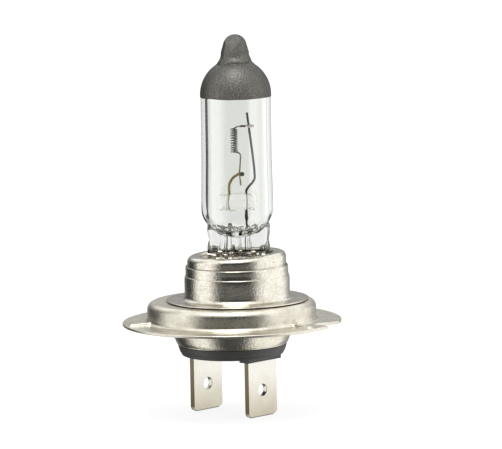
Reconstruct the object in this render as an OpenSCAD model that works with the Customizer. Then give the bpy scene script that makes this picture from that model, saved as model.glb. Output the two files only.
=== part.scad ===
// Single-filament headlight bulb with a drawn locating ring and two flat blade contacts.
// Millimetres. Z runs up the lamp axis. Z = 0 is the plane through the tops of the three
// reference bosses on the ring flange, and the axis is that of the locating ring.

/* [Locating ring] */
// Outer diameter of the drawn locating ring
ring_d = 25.6; // [23:0.1:30.8]
// Height of the ring top above the flange
ring_h = 2.95; // [2.3:0.05:3.6]
// Outer diameter of the flange round the ring
flange_d = 33.2; // [31.5:0.1:40]
// Thickness of the sheet the ring is drawn from
ring_t = 0.4; // [0.3:0.05:0.5]
// Height of the three reference bosses over the flange
boss_h = 0.35; // [0.2:0.05:0.5]
// Width of each reference boss
boss_w = 0.9; // [0.6:0.1:1.5]

/* [Sleeves] */
// Diameter of the washer at the foot of the outer sleeve
washer_d = 21.6; // [20:0.1:22.6]
// Outer diameter of the inner sleeve that carries the glass
sleeve_d = 15; // [12.5:0.1:15.6]
// Height of the inner sleeve top above the flange
sleeve_top = 10.1; // [9.6:0.1:12.2]
// Height of the outer sleeve top above the flange
outer_top = 8.3; // [7.4:0.1:8.6]
// Thickness of the sleeve sheet
sleeve_t = 0.27; // [0.2:0.01:0.32]
// How far the burner is moved sideways when it is focused
burner_shift = 0.9; // [0:0.1:1]
// Angle between the flat of the glass pinch and the blade contacts
burner_turn = 43; // [0:1:90]

/* [Glass] */
// Outer diameter of the glass tube
glass_d = 10.6; // [8.9:0.1:12.8]
// Wall thickness of the glass tube
glass_wall = 1; // [0.7:0.05:1.2]
// Height of the glass tip above the flange
tip_top = 43.3; // [42.5:0.1:52.4]
// Width of the flat pinch under the tube
pinch_w = 9.5; // [8:0.1:9.6]
// Thickness of the flat pinch
pinch_t = 3.2; // [2.8:0.1:3.6]
// Thickness of the light-blocking coating on the crown
coat_t = 0.07; // [0.05:0.01:0.1]

/* [Filament and leads] */
// Height of the lower end of the coil above the flange
coil_z = 25.35; // [24.8:0.05:26]
// Length of the coil along the axis
coil_len = 3.85; // [3.2:0.05:4.1]
// Outer diameter of the coil
coil_d = 1.1; // [0.9:0.05:1.3]
// Number of turns in the coil
coil_turns = 10.5; // [8.5:1:12.5]
// Diameter of the wire the coil is wound from
coil_wire = 0.2; // [0.15:0.01:0.24]
// Diameter of the long lead
long_lead_d = 0.36; // [0.3:0.02:0.44]
// Diameter of the short lead
short_lead_d = 0.46; // [0.36:0.02:0.5]

/* [Base] */
// Depth of the metal shell under the flange
shell_depth = 3.6; // [3.2:0.1:4.3]
// Depth of the insulating body under the flange
body_depth = 5.3; // [4.8:0.1:6]
// Width of each blade contact
blade_w = 6.3; // [5.3:0.1:7.6]
// Thickness of each blade contact
blade_t = 0.8; // [0.7:0.05:1]
// Depth of the blade ends under the flange
blade_depth = 14.3; // [12:0.1:17.2]
// Distance between the middles of the two blades
blade_pitch = 11.3; // [10.6:0.1:11.8]
// Diameter of the hole in each blade
blade_hole_d = 1.85; // [1.5:0.05:2.2]

/* [Hidden] */
$fn = 72;
eps = 0.01;

// Locating ring: corner radii, boss layout and the key notch in the rim.
ring_corner = 1.1;
ring_foot = 0.3;
ring_hole_r = 9;
boss_rim_gap = 0.35;
boss_side = 0.2;
notch_gap = 1.3;
notch_root_r = ring_d / 2 + notch_gap;
notch_start = 13;
notch_root_end = 16;
notch_end = 30;
notch_clear_a = 25;

// Sleeves: the outer one steps in to hold the inner one, which is rolled in at its top.
washer_t = 0.35;
washer_z = ring_h;
sleeve_r = sleeve_d / 2;
step_in = 0.21;
step_z = washer_z + 3.6;
step_run = 0.25;
step_dip = 0.06;
outer_foot = 0.45;
sleeve_foot_z = washer_z + 1.1;
lip_drop = 0.5;

// Clip that grips the pinch inside the inner sleeve.
clip_t = 0.25;
clip_z = sleeve_top - sleeve_t - lip_drop;
clip_leg = 3.2;
clip_leg_w = 5.2;
lug_h = 1.6;
lug_w = 2;

// Crown of the envelope: tangent arcs for dome, neck and tip, closed to the tube below.
tube_r = glass_d / 2;
tube_shift = 0.3;
flare = 0.14;
tip_r = 1.8;
tip_z = tip_top - tip_r;
tip_base_r = 2.05;
neck_r = 2.55;
neck_c = tip_base_r + neck_r;
neck_z = tip_top - 2.7;
dome_z = neck_z - sqrt(pow(tube_r + neck_r, 2) - pow(neck_c, 2));
dome_a = atan2(neck_z - dome_z, neck_c);
tip_a = 13;
coat_skirt = 0.4;
shoulder_z = 17;
flare_end_z = 25;
bottom_z = 12.6;
well_z = 14.2;

// Pinch: flat slab with thick edges and upright ribs on both faces.
pinch_x = 0.45;
pinch_z = 4.6;
pinch_top = 15;
pinch_web = 2.4;
rib_r = 0.4;
pinch_ribs = [-3.1, -1.1, 1.35, 3.1];

// Rolled-in top of the inner sleeve, which leaves the pinch clear.
lip_gap = 0.3;
lip_r = pinch_x + pinch_w / 2 + lip_gap;
sleeve_bend = 0.85;
sleeve_round = min(sleeve_bend, sleeve_r - lip_r - sleeve_t);

// Leads as seen with the flat of the pinch facing forward, [across, up].
long_x = 1.66;
short_x = -0.9;
lead_foot_z = 1.1;
bridge_z = 17.9;
bridge_r = 1.3;
bridge_len = 4.9;
bridge_ring_r = 1.38;
bridge_ring_w = 0.9;
long_path = [
    [long_x, 19.3], [long_x, 19.6], [2.86, 21], [3, 22.1],
    [2.75, 25.1], [2.44, 27.7], [2.02, 31.5]
];
clamp_leg = 5;
short_path = [
    [short_x, 19.3], [short_x, 19.9], [-0.82, 20.65], [-0.49, 21.33],
    [-0.04, 21.8], [0.49, 22.07]
];
short_loop_r = 0.43;
short_loop_z = 22.2;
pin_d = 0.28;
lower_pin_top = [0.87, 23.8];
lower_pin_foot = [0.87, 20.4];
upper_pin_z = coil_z + coil_len + 0.2;
upper_pin_x = [1, 1.78];
clamp_x = [1.74, 3.1];
clamp_r = 0.25;

// Bends of the coil tails: [across, deep, share of the rise] from the lower pin, then
// [across, deep, over the upper pin].
lower_bends = [[0, 0, 0], [0.01, 0.02, 0.35], [0.07, 0.1, 0.65], [-0.02, 0.28, 0.87], [-0.37, 0.42, 1]];
upper_bends = [[0.35, -0.35, -0.1], [0.7, -0.12, -0.02]];

// Base: shell, body, blades and the strips that join them to the leads.
shell_t = 0.4;
shell_r = 9.64;
shell_rim_r = ring_d / 2 - ring_t;
shell_cone_z = -ring_t;
shell_cone_a = 22;
shell_end_r = shell_r - (shell_depth - ring_t) * tan(shell_cone_a);
body_top = 1.5;
body_step = 0.07;
body_end_r = 7.8;
body_round = 0.5;
pocket_r = 6.6;
pocket_z = -2;
root_h = 0.5;
root_wall = 0.55;
blade_corner = 0.75;
blade_bevel = 0.22;
blade_bevel_h = 0.5;
blade_hole_z = 4.05;
tongue_w = 3.2;
tongue_z = -2.7;
tongue_top = 1.1;
strip_t = 0.3;
strip_w = 1.5;
strip_leg = 1.1;
strip_z = lead_foot_z - strip_t;

// Points on a circular arc in the profile plane.
function arc(cx, cy, r, a0, a1, n = 10) =
    [for (i = [0:n]) let (a = a0 + (a1 - a0) * i / n) [cx + r * cos(a), cy + r * sin(a)]];

// Points on a quarter of an ellipse from the axis out to its widest place.
function bowl(a, b, z, n = 10) =
    [for (i = [0:n]) let (t = -90 + 90 * i / n) [a * cos(t), z + b * sin(t)]];

// Outline of the crown, moved inward by g.
function crown(g) = concat(
    arc(0, dome_z, tube_r + coat_t - g, 0, dome_a, 12),
    arc(neck_c, neck_z, neck_r - coat_t + g, 180 + dome_a, 180, 8),
    arc(0, tip_z, tip_r - g, tip_a, 90, 8)
);

// Unit vector, and a vector made square to direction t.
function unit(v) = v / norm(v);
function square_to(v, t) = unit(v - t * (v * t));
function tangent(path, i) = unit(path[min(i + 1, len(path) - 1)] - path[max(i - 1, 0)]);

// Point a fraction t of the way from b to c on the smooth curve through a, b, c and d.
function spline(a, b, c, d, t) =
    b + 0.5 * t * (c - a + t * (2 * a - 5 * b + 4 * c - d + t * (3 * (b - c) + d - a)));

// Moves a profile from flange height to the frame of the part.
module on_axis() {
    translate([0, 0, -boss_h]) children();
}

// Frame of the focused burner, with the flat of the pinch facing forward.
module on_burner() {
    on_axis()
        translate([burner_shift * cos(burner_turn), burner_shift * sin(burner_turn), 0])
            rotate([0, 0, burner_turn])
                children();
}

// Round bar from a to b, both given as [across, up].
module bar(a, b, r) {
    step = b - a;
    translate([a.x, 0, a.y])
        rotate([0, atan2(step.x, step.y), 0])
            cylinder(h = norm(step), r = r);
}

// Round section carried along a path in space without twist.
module swept_wire(path, r, sides = 8) {
    last = len(path) - 1;
    normals = [
        for (i = 0, n = square_to([0, 1, 0], tangent(path, 0)); i <= last;
            i = i + 1, n = square_to(n, tangent(path, min(i, last)))) n
    ];
    points = [
        for (i = [0:last]) let (t = tangent(path, i), n = normals[i], b = cross(t, n))
            for (k = [0:sides - 1])
                path[i] + r * (n * cos(360 * k / sides) + b * sin(360 * k / sides))
    ];
    faces = concat(
        [[for (k = [0:sides - 1]) k]],
        [
            for (i = [0:last - 1]) for (k = [0:sides - 1]) let (m = (k + 1) % sides)
                [i * sides + k, (i + 1) * sides + k, (i + 1) * sides + m, i * sides + m]
        ],
        [[for (k = [sides - 1:-1:0]) last * sides + k]]
    );
    polyhedron(points = points, faces = faces, convexity = 10);
}

// Lead that runs straight up from its foot, then smoothly through [across, up] points.
module lead(path, r) {
    last = len(path) - 1;
    cuts = 4;
    smooth = [
        for (i = [0:last - 1], k = [0:(i == last - 1 ? cuts : cuts - 1)])
            let (p = spline(path[max(i - 1, 0)], path[i], path[i + 1], path[min(i + 2, last)], k / cuts))
                [p.x, 0, p.y]
    ];
    swept_wire(concat([[path[0].x, 0, lead_foot_z]], smooth), r, 16);
}

// Straight runs of both leads where the glass is melted round them.
module lead_channels() {
    rise = long_path[0].y - lead_foot_z;
    translate([long_x, 0, lead_foot_z]) cylinder(h = rise, r = long_lead_d / 2);
    translate([short_x, 0, lead_foot_z]) cylinder(h = rise, r = short_lead_d / 2);
}

module pinch() {
    edge_r = pinch_t / 2;
    reach = pinch_w / 2 - edge_r;
    translate([pinch_x, 0, pinch_z]) {
        translate([-reach, -pinch_web / 2, 0])
            cube([2 * reach, pinch_web, pinch_top - pinch_z]);
        for (side = [-1, 1])
            translate([side * reach, 0, 0]) cylinder(h = pinch_top - pinch_z, r = edge_r);
        for (x = pinch_ribs, side = [-1, 1])
            translate([x - pinch_x, side * (pinch_t / 2 - rib_r), 0])
                cylinder(h = bottom_z - pinch_z, r = rib_r);
    }
}

module glass_envelope() {
    color([0.92, 0.94, 0.93, 0.35]) on_burner() difference() {
        union() {
            translate([tube_shift, 0, 0]) rotate_extrude() polygon(concat(
                bowl(tube_r + flare, shoulder_z - bottom_z, shoulder_z),
                [[tube_r, flare_end_z]],
                crown(coat_t)
            ));
            pinch();
        }
        translate([tube_shift, 0, 0]) rotate_extrude() polygon(concat(
            bowl(tube_r + flare - glass_wall, shoulder_z - well_z, shoulder_z),
            [[tube_r - glass_wall, flare_end_z]],
            arc(0, dome_z, tube_r - glass_wall, 0, 90)
        ));
        lead_channels();
    }
}

module blackout_coating() {
    color([0.36, 0.35, 0.33]) on_burner()
        translate([tube_shift, 0, 0]) difference() {
            rotate_extrude() polygon(concat(
                [[0, dome_z - coat_skirt], [tube_r + coat_t, dome_z - coat_skirt]],
                crown(0)
            ));
            rotate_extrude() polygon(concat(
                [[0, dome_z - coat_skirt - 1], [tube_r, dome_z - coat_skirt - 1]],
                crown(coat_t)
            ));
        }
}

module filament_coil() {
    mean_r = (coil_d - coil_wire) / 2;
    steps = 18;
    rise = (coil_len - coil_wire) / coil_turns;
    turn = [
        for (i = [0:coil_turns * steps]) let (a = 90 + 360 * i / steps)
            [mean_r * cos(a), mean_r * sin(a), coil_z + coil_wire / 2 + rise * i / steps]
    ];
    foot = [lower_pin_top.x, 0, lower_pin_top.y];
    lift = coil_z - foot.z;
    lower_tail = [for (b = lower_bends) foot + [b.x, b.y, b.z * lift]];
    upper_tail = concat(
        [for (b = upper_bends) [b.x, b.y, upper_pin_z + b.z]],
        [[upper_pin_x[0], 0, upper_pin_z]]
    );
    color([0.72, 0.72, 0.70]) on_burner()
        swept_wire(concat(lower_tail, turn, upper_tail), coil_wire / 2);
}

module upper_tail_pin() {
    color([0.30, 0.29, 0.28]) on_burner()
        bar([upper_pin_x[0], upper_pin_z], [clamp_x[0], upper_pin_z], pin_d / 2);
}

module lower_tail_pin() {
    color([0.55, 0.50, 0.33]) on_burner()
        bar(lower_pin_foot, lower_pin_top, pin_d / 2);
}

module lead_clamp() {
    color([0.85, 0.84, 0.80]) on_burner() difference() {
        union() {
            bar([clamp_x[0], upper_pin_z], [clamp_x[1], upper_pin_z], clamp_r);
            translate([clamp_x[1], 0, upper_pin_z]) sphere(r = clamp_r);
        }
        bar(long_path[clamp_leg], long_path[clamp_leg + 1], long_lead_d / 2);
    }
}

module long_lead() {
    color([0.35, 0.34, 0.31]) on_burner() lead(long_path, long_lead_d / 2);
}

module short_lead() {
    loop = [lower_pin_top.x, short_loop_z];
    color([0.62, 0.55, 0.35]) on_burner() difference() {
        union() {
            lead(short_path, short_lead_d / 2);
            translate([loop.x, 0, loop.y - short_lead_d / 2])
                cylinder(h = short_lead_d, r = short_loop_r);
        }
        bar(lower_pin_foot, lower_pin_top, pin_d / 2);
    }
}

module glass_bridge() {
    middle = (long_x + short_x) / 2;
    color([0.90, 0.92, 0.91, 0.5]) on_burner() difference() {
        union() {
            translate([middle - bridge_len / 2, 0, bridge_z])
                rotate([0, 90, 0]) cylinder(h = bridge_len, r = bridge_r);
            for (side = [-1, 1])
                translate([middle + side * bridge_len / 2, 0, bridge_z])
                    rotate([0, 90, 0]) rotate_extrude()
                        polygon(concat(
                            [[0, -bridge_ring_w / 2]],
                            arc(bridge_ring_r - bridge_ring_w / 2, 0, bridge_ring_w / 2, -90, 90),
                            [[0, bridge_ring_w / 2]]
                        ));
        }
        lead_channels();
    }
}

module pinch_clip() {
    half_t = pinch_t / 2;
    color([0.62, 0.61, 0.58]) on_burner() {
        difference() {
            translate([0, 0, clip_z - clip_t]) cylinder(h = clip_t, r = sleeve_r - sleeve_t);
            pinch();
        }
        for (side = [-1, 1]) translate([pinch_x, side * (half_t + clip_t / 2), 0]) {
            translate([-clip_leg_w / 2, -clip_t / 2, clip_z - clip_t - clip_leg])
                cube([clip_leg_w, clip_t, clip_leg + clip_t / 2]);
            for (end = [-1, 1])
                translate([end * (clip_leg_w - lug_w) / 2 - lug_w / 2, -clip_t / 2, clip_z - clip_t / 2])
                    cube([lug_w, clip_t, lug_h]);
        }
    }
}

module inner_sleeve() {
    inner_r = sleeve_r - sleeve_t;
    bend = sleeve_round - sleeve_t;
    round_z = sleeve_top - sleeve_round;
    color([0.80, 0.79, 0.76]) on_burner() rotate_extrude() polygon(concat(
        [[inner_r, sleeve_foot_z], [sleeve_r, sleeve_foot_z]],
        arc(sleeve_r - sleeve_round, round_z, sleeve_round, 0, 90, 8),
        arc(lip_r + sleeve_t, sleeve_top - sleeve_t, sleeve_t, 90, 180, 4),
        [[lip_r, clip_z], [lip_r + sleeve_t, clip_z]],
        [[lip_r + sleeve_t, sleeve_top - sleeve_t]],
        arc(sleeve_r - sleeve_round, round_z, bend, 90, 0, 8)
    ));
}

module outer_sleeve() {
    upper_r = sleeve_r + sleeve_t;
    lower_r = upper_r + step_in;
    washer_top = washer_z + washer_t;
    color([0.80, 0.79, 0.76]) on_burner() rotate_extrude() polygon(concat(
        [[lower_r - sleeve_t, washer_z], [washer_d / 2, washer_z]],
        arc(washer_d / 2 - washer_t / 2, washer_top - washer_t / 2, washer_t / 2, 0, 90, 3),
        arc(lower_r + outer_foot, washer_top + outer_foot, outer_foot, 270, 180, 5),
        [[lower_r, step_z], [upper_r - step_dip, step_z + step_run], [upper_r, step_z + 2 * step_run]],
        arc(upper_r - sleeve_t / 2, outer_top - sleeve_t / 2, sleeve_t / 2, 0, 90, 3),
        [[sleeve_r, outer_top], [sleeve_r, step_z + step_run], [lower_r - sleeve_t, step_z]]
    ));
}

module locating_ring() {
    ring_r = ring_d / 2;
    flange_r = flange_d / 2;
    bend = ring_corner - ring_t;
    color([0.80, 0.79, 0.76]) on_axis() {
        difference() {
            rotate_extrude() polygon(concat(
                [[ring_hole_r, ring_h - ring_t], [ring_hole_r, ring_h]],
                arc(ring_r - ring_corner, ring_h - ring_corner, ring_corner, 90, 0, 8),
                arc(ring_r + ring_foot, ring_foot, ring_foot, 180, 270, 5),
                arc(flange_r - ring_t / 2, -ring_t / 2, ring_t / 2, 90, -90, 6),
                [[ring_r - ring_t, -ring_t]],
                arc(ring_r - ring_corner, ring_h - ring_corner, bend, 0, 90, 8)
            ));
            translate([0, 0, -ring_t - eps]) linear_extrude(height = ring_t + 2 * eps) polygon([
                notch_root_r * [cos(notch_start), sin(notch_start)],
                2 * flange_r * [cos(notch_start), sin(notch_start)],
                2 * flange_r * [cos(notch_end + notch_clear_a), sin(notch_end + notch_clear_a)],
                flange_r * [cos(notch_end), sin(notch_end)],
                notch_root_r * [cos(notch_root_end), sin(notch_root_end)]
            ]);
        }
        for (a = [0, 120, 240]) rotate([0, 0, a])
            translate([ring_r - ring_t / 2, 0, 0]) rotate([90, 0, 90])
                linear_extrude(height = flange_r - boss_rim_gap - ring_r + ring_t / 2) polygon([
                    [-boss_w / 2, -ring_t / 2], [boss_w / 2, -ring_t / 2], [boss_w / 2, 0],
                    [boss_w / 2 - boss_side, boss_h], [boss_side - boss_w / 2, boss_h],
                    [-boss_w / 2, 0]
                ]);
    }
}

module base_shell() {
    rim_z = ring_h - ring_t;
    color([0.78, 0.77, 0.74]) on_axis() rotate_extrude() polygon([
        [shell_r - shell_t, rim_z], [shell_rim_r - ring_corner + ring_t, rim_z],
        [shell_rim_r - ring_corner + ring_t, rim_z - shell_t], [shell_r, rim_z - shell_t],
        [shell_r, shell_cone_z], [shell_end_r, -shell_depth],
        [shell_end_r - shell_t, -shell_depth], [shell_r - shell_t, shell_cone_z]
    ]);
}

// Place of a blade, seen from the axis: side is 1 or -1.
module at_blade(side) {
    translate([side * blade_pitch / 2, 0, 0]) children();
}

module blade_blank() {
    translate([-blade_t / 2, -blade_w / 2, -blade_depth])
        cube([blade_t, blade_w, blade_depth + tongue_z]);
    translate([-blade_t / 2, -tongue_w / 2, tongue_z - eps])
        cube([blade_t, tongue_w, tongue_top - tongue_z + eps]);
}

module contact_blade(side) {
    color([0.84, 0.82, 0.76]) on_axis() at_blade(side) difference() {
        blade_blank();
        translate([-blade_t, 0, -blade_depth + blade_hole_z])
            rotate([0, 90, 0]) cylinder(h = 2 * blade_t, d = blade_hole_d);
        for (edge = [-1, 1])
            translate([0, edge * blade_w / 2, -blade_depth]) rotate([45, 0, 0])
                cube([2 * blade_t, sqrt(2) * blade_corner, sqrt(2) * blade_corner], center = true);
        for (face = [-1, 1])
            translate([face * blade_t / 2, 0, -blade_depth])
                rotate([0, face * atan2(blade_bevel, blade_bevel_h), 0])
                    translate([face * blade_t / 2, 0, 0])
                        cube([blade_t, 2 * blade_w, 2 * blade_bevel_h], center = true);
    }
}

module contact_blade_a() {
    contact_blade(1);
}

module contact_blade_b() {
    contact_blade(-1);
}

module insulator_body() {
    color([0.24, 0.24, 0.24]) on_axis() difference() {
        union() {
            rotate_extrude() polygon(concat(
                [[0, body_top], [shell_r - shell_t, body_top], [shell_r - shell_t, shell_cone_z]],
                [[shell_end_r - shell_t, -shell_depth], [shell_end_r - body_step, -shell_depth]],
                arc(body_end_r - body_round, body_round - body_depth, body_round, 0, -90, 5),
                [[0, -body_depth]]
            ));
            for (side = [-1, 1]) at_blade(side)
                translate([-blade_t / 2 - root_wall, -blade_w / 2 - root_wall, -body_depth - root_h])
                    cube([blade_t + 2 * root_wall, blade_w + 2 * root_wall, root_h + eps]);
        }
        translate([0, 0, pocket_z]) cylinder(h = body_top - pocket_z + eps, r = pocket_r);
        for (side = [-1, 1]) at_blade(side) blade_blank();
    }
}

// Where the burner leads reach the base, on the line the burner is turned to.
function lead_spot(x) = (burner_shift + x) * [cos(burner_turn), sin(burner_turn)];

// Bent strip from the foot of a lead at spot to the tongue of the blade on the given side.
module contact_strip(side, spot) {
    tongue_x = blade_pitch / 2 - blade_t / 2;
    color([0.80, 0.78, 0.70]) on_axis() {
        start = side * spot.x - strip_w / 2;
        mirror([side < 0 ? 1 : 0, 0, 0]) {
            translate([start, spot.y - strip_w / 2, strip_z])
                cube([tongue_x - start, strip_w, strip_t]);
            translate([tongue_x - strip_t, spot.y - strip_w / 2, strip_z - strip_leg])
                cube([strip_t, strip_w, strip_leg + eps]);
        }
    }
}

module contact_strip_a() {
    contact_strip(1, lead_spot(long_x));
}

module contact_strip_b() {
    contact_strip(-1, lead_spot(short_x));
}

glass_envelope();
blackout_coating();
filament_coil();
upper_tail_pin();
lower_tail_pin();
lead_clamp();
long_lead();
short_lead();
glass_bridge();
pinch_clip();
inner_sleeve();
outer_sleeve();
locating_ring();
base_shell();
insulator_body();
contact_blade_a();
contact_blade_b();
contact_strip_a();
contact_strip_b();
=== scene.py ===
import math
import random

import bmesh
import bpy
from mathutils import Matrix, Vector, noise


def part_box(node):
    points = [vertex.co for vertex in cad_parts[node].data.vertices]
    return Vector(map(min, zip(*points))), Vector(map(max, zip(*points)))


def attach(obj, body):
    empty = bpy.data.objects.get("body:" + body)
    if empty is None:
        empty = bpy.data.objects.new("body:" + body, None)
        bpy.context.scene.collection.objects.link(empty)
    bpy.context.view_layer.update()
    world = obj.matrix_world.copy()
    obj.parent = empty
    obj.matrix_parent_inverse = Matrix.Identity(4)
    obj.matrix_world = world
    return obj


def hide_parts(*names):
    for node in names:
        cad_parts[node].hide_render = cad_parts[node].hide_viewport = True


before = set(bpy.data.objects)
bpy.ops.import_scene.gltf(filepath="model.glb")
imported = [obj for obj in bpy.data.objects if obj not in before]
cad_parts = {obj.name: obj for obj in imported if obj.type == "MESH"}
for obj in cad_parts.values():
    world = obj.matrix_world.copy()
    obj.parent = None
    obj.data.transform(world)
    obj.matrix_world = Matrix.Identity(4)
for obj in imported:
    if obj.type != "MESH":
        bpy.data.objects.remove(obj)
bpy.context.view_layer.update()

random.seed(7)
MM = 0.001
TAU = 2 * math.pi
MERGE = 1e-8        # metres; closer vertices are one
ALL_SMOOTH = 180    # degrees; no edge is sharper

# ---- frame of the lamp

_, flange_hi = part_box("locating_ring")
sleeve_lo, sleeve_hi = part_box("inner_sleeve")
_, coat_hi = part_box("blackout_coating")
blade_lo, blade_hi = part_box("contact_blade_a")

# The burner (glass and sleeves) stands beside the ring's axis and is turned towards that side.
BURNER = Vector(((sleeve_lo.x + sleeve_hi.x) / 2, (sleeve_lo.y + sleeve_hi.y) / 2)) / MM
TURN = math.atan2(BURNER.y, BURNER.x)
BOSS_H = 0.35       # the frame's zero is on top of the bosses, this far over the flange
SEAT = -BOSS_H
FLANGE_R = flange_hi.x / MM
TIP = coat_hi.z / MM
TUBE_SHIFT = 0.3    # the tube's axis from the burner's, across the pinch
BLADE_TIP = blade_lo.z      # in metres, like the material's coordinates
BLADE_SIDE = blade_hi.y


def on_burner(x, y, z):
    """Point given with the flat of the pinch facing forward, in mm over the flange."""
    c, s = math.cos(TURN), math.sin(TURN)
    return Vector((BURNER.x + x * c - y * s, BURNER.y + x * s + y * c, z + SEAT)) * MM


def on_axis(x, y, z):
    """Point given from the ring's axis, in mm over the flange."""
    return Vector((x, y, z + SEAT)) * MM


# ---- mesh helpers

def add_object(name, data):
    """Object in the scene that shows a mesh, curve, light or camera."""
    obj = bpy.data.objects.new(name, data)
    bpy.context.collection.objects.link(obj)
    return obj


def make_mesh(name, verts, faces, smooth_angle=38):
    """Mesh in metres with outward normals; edges bent further than the angle stay sharp."""
    mesh = bpy.data.meshes.new(name)
    mesh.from_pydata([tuple(v) for v in verts], [], faces)
    bm = bmesh.new()
    bm.from_mesh(mesh)
    bmesh.ops.remove_doubles(bm, verts=bm.verts, dist=MERGE)
    bmesh.ops.dissolve_degenerate(bm, edges=bm.edges, dist=MERGE)
    bmesh.ops.recalc_face_normals(bm, faces=bm.faces)
    bm.to_mesh(mesh)
    bm.free()
    for poly in mesh.polygons:
        poly.use_smooth = True
    if smooth_angle < ALL_SMOOTH:
        mesh.set_sharp_from_angle(angle=math.radians(smooth_angle))
    return add_object(name, mesh)


def place(obj, material, slot, *nodes):
    """Gives a piece its material and lets it stand in for nodes of the frame; slot is not used."""
    obj.data.materials.clear()
    obj.data.materials.append(material)
    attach(obj, "root")
    if nodes:
        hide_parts(*nodes)
    return obj


def arc(cx, cy, r, a0, a1, n=10):
    """Points of a round stretch from angle a0 to a1, in degrees."""
    return [(cx + r * math.cos(math.radians(a0 + (a1 - a0) * i / n)),
             cy + r * math.sin(math.radians(a0 + (a1 - a0) * i / n))) for i in range(n + 1)]


def lathe(name, profile, place_point, segs=160, closed=True, wobble=None, smooth_angle=38):
    """Turned body from (radius, height) points; closed joins the last point to the first."""
    verts, faces = [], []
    n = len(profile)
    for k in range(segs):
        a = TAU * k / segs
        for r, z in profile:
            dr, dz = wobble(r, z, a) if wobble else (0, 0)
            verts.append(place_point((r + dr) * math.cos(a), (r + dr) * math.sin(a), z + dz))
    spans = n if closed else n - 1
    for k in range(segs):
        m = (k + 1) % segs
        for i in range(spans):
            j = (i + 1) % n
            faces.append((k * n + i, m * n + i, m * n + j, k * n + j))
    return make_mesh(name, verts, faces, smooth_angle)


def sweep(name, path, radius, sides=16, place_point=on_burner, taper=None):
    """Round wire along a smooth path of (x, y, z) points, without twist."""
    pts = [place_point(*p) for p in path]
    last = len(pts) - 1
    verts, faces = [], []
    normal = None
    for i, p in enumerate(pts):
        t = (pts[min(i + 1, last)] - pts[max(i - 1, 0)]).normalized()
        if normal is None:
            normal = t.orthogonal().normalized()
        normal = (normal - t * normal.dot(t)).normalized()
        side = t.cross(normal)
        r = (radius if taper is None else taper(i / last) * radius) * MM
        for k in range(sides):
            a = TAU * k / sides
            verts.append(p + r * (normal * math.cos(a) + side * math.sin(a)))
    for i in range(last):
        for k in range(sides):
            m = (k + 1) % sides
            faces.append((i * sides + k, (i + 1) * sides + k, (i + 1) * sides + m, i * sides + m))
    faces.append(tuple(range(sides)))
    faces.append(tuple(reversed(range(last * sides, last * sides + sides))))
    return make_mesh(name, verts, faces, 50)


def spline(points, cuts=8):
    """Smooth run of points through the ones given, with so many cuts between each two."""
    out = []
    last = len(points) - 1
    for i in range(last):
        a, b = Vector(points[max(i - 1, 0)]), Vector(points[i])
        c, d = Vector(points[i + 1]), Vector(points[min(i + 2, last)])
        for k in range(cuts if i < last - 1 else cuts + 1):
            t = k / cuts
            bend = 2 * a - 5 * b + 4 * c - d + t * (3 * (b - c) + d - a)
            out.append(b + 0.5 * t * (c - a + t * bend))
    return out


def spread(start, stop, step):
    """Evenly stepped numbers from start up to stop, with both ends."""
    return [start + step * i for i in range(int((stop - start) / step + 1e-6) + 1)]


def smoothstep(lo, hi, x):
    """Soft step from 0 at lo to 1 at hi; the two may stand in either order."""
    t = min(max((x - lo) / (hi - lo), 0), 1)
    return t * t * (3 - 2 * t)


# ---- materials

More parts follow.
